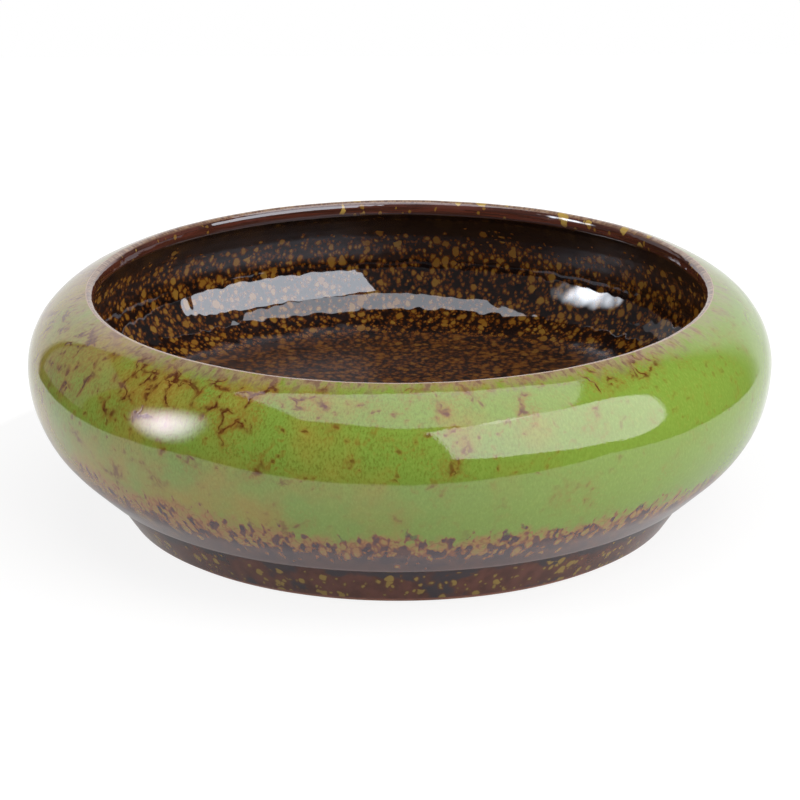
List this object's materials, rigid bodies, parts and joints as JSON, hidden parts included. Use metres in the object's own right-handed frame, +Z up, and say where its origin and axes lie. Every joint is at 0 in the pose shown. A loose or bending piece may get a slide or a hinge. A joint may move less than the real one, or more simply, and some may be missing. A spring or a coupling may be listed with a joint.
{
  "type": "planter bowl",
  "caption": "Low round glazed stoneware planter bowl with a bellied wall, rolled-in shoulder and ring foot; open on top with no drain hole, so it holds water, stones and plants.",
  "frame": {"origin": "centre of the standing ring, on the surface that the bowl stands on", "axes": "+Z up along the axis that the bowl is turned about; X and Y are any two level directions"},
  "size_m": [0.22, 0.22, 0.0684],
  "materials": {
    "stoneware": "bare fired clay, matt",
    "green_glaze": "gloss green glaze breaking to brown, with rust veins",
    "foot_glaze": "gloss brown glaze with ochre spots",
    "speckled_glaze": "gloss dark brown glaze with ochre spots"
  },
  "bodies": {
    "root": {"bowl_body": "stoneware", "foot_ring": "stoneware", "outer_glaze": "green_glaze", "foot_glaze": "foot_glaze", "inner_glaze": "speckled_glaze"}
  },
  "joints": []
}
